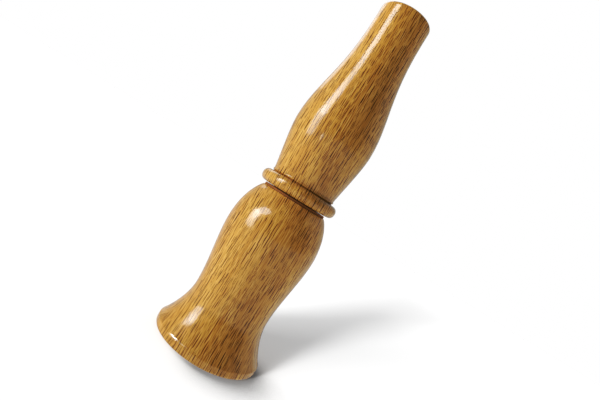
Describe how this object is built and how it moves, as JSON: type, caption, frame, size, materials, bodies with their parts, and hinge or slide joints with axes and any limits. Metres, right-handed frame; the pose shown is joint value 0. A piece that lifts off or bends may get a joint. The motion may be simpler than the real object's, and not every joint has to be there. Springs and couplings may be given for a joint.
{
  "type": "fox call",
  "caption": "Turned wooden closed-reed fox call: flared bell with a tenon, bead-collared mouthpiece on O-rings, and a brass reed voice inside.",
  "frame": {"origin": "centre of the bell's rim face, on the surface that the call stands on", "axes": "+Z along the turned axis from the bell to the mouthpiece; +Y towards the side of the voice that the reed and its wedge lie on"},
  "size_m": [0.0408, 0.0408, 0.14],
  "materials": {
    "lacquered_wood": "honey-brown flecked wood under clear gloss lacquer",
    "plain_wood": "bare turned wood",
    "ring_rubber": "smooth black rubber, lightly greased",
    "voice_brass": "drawn and rolled brass",
    "wedge_cork": "cut cork"
  },
  "bodies": {
    "bell": {"bell": "lacquered_wood", "reed_block": "plain_wood", "tone_trough": "voice_brass", "reed_wedge": "wedge_cork"},
    "rings": {"lower_o_ring": "ring_rubber", "upper_o_ring": "ring_rubber"},
    "mouthpiece": {"mouthpiece": "lacquered_wood"},
    "reed": {"reed": "voice_brass"}
  },
  "joints": [
    {"name": "mouthpiece_twist", "type": "hinge", "parent": "bell", "child": "rings", "pos_m": [0, 0, 0.0625], "axis": [0, 0, 1], "continuous": true},
    {"name": "mouthpiece_pull", "type": "slide", "parent": "rings", "child": "mouthpiece", "axis": [0, 0, 1], "range_m": [0, 0.055]},
    {"name": "reed_flex", "type": "hinge", "parent": "bell", "child": "reed", "pos_m": [0, 0.0002, 0.0835], "axis": [1, 0, 0], "range_deg": [-2.5, 1.8], "stiffness_Nm_per_rad": 0.01}
  ]
}
